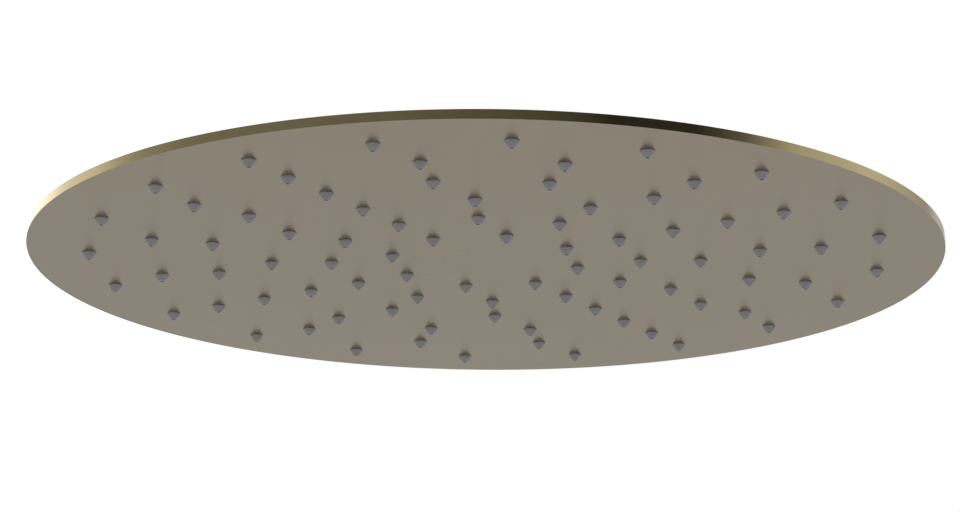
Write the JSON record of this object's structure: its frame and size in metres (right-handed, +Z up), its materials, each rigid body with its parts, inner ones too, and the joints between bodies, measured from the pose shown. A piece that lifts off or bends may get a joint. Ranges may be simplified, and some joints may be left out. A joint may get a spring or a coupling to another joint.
{
  "type": "rain shower head",
  "caption": "Thin round rain shower head in brushed brass, with rings of soft grey nozzles in its flat face and a ball joint with a threaded inlet on its back.",
  "frame": {"origin": "centre of the inlet socket's mouth", "axes": "+Z up along the inlet, out of its mouth; the face with the nozzles looks down; one spoke of nozzles lies along +X"},
  "size_m": [0.3, 0.3, 0.0479],
  "materials": {
    "brushed_plate": "sheet steel with a brushed brass coating",
    "turned_brass": "turned and brushed brass",
    "silicone": "matt grey silicone",
    "stud_steel": "plain welded steel",
    "seal_rubber": "matt black rubber",
    "seat_plastic": "natural white acetal",
    "strainer_steel": "woven steel mesh",
    "regulator_plastic": "moulded acetal"
  },
  "bodies": {
    "stem": {"ball_stem": "turned_brass", "inlet_washer": "seal_rubber", "strainer_mesh": "strainer_steel", "flow_regulator": "regulator_plastic", "regulator_disc": "seal_rubber"},
    "seat": {"seat_ring": "seat_plastic"},
    "seal": {"ball_seal": "seal_rubber"},
    "head": {"face_plate": "brushed_plate", "nozzle_ring_1": "silicone", "nozzle_ring_2": "silicone", "nozzle_ring_3": "silicone", "nozzle_ring_4": "silicone", "nozzle_ring_5": "silicone", "nozzle_ring_6": "silicone", "spacer_studs": "stud_steel", "back_plate": "brushed_plate", "inlet_boss": "turned_brass", "collar_nut": "turned_brass"}
  },
  "joints": [
    {"name": "tilt_x", "type": "hinge", "parent": "stem", "child": "seat", "pos_m": [0, 0, -0.03083], "axis": [1, 0, 0], "range_deg": [-10, 10]},
    {"name": "tilt_y", "type": "hinge", "parent": "seat", "child": "seal", "pos_m": [0, 0, -0.03083], "axis": [0, 1, 0], "range_deg": [-10, 10]},
    {"name": "swivel", "type": "hinge", "parent": "seal", "child": "head", "pos_m": [0, 0, -0.03083], "axis": [0, 0, 1], "continuous": true}
  ]
}
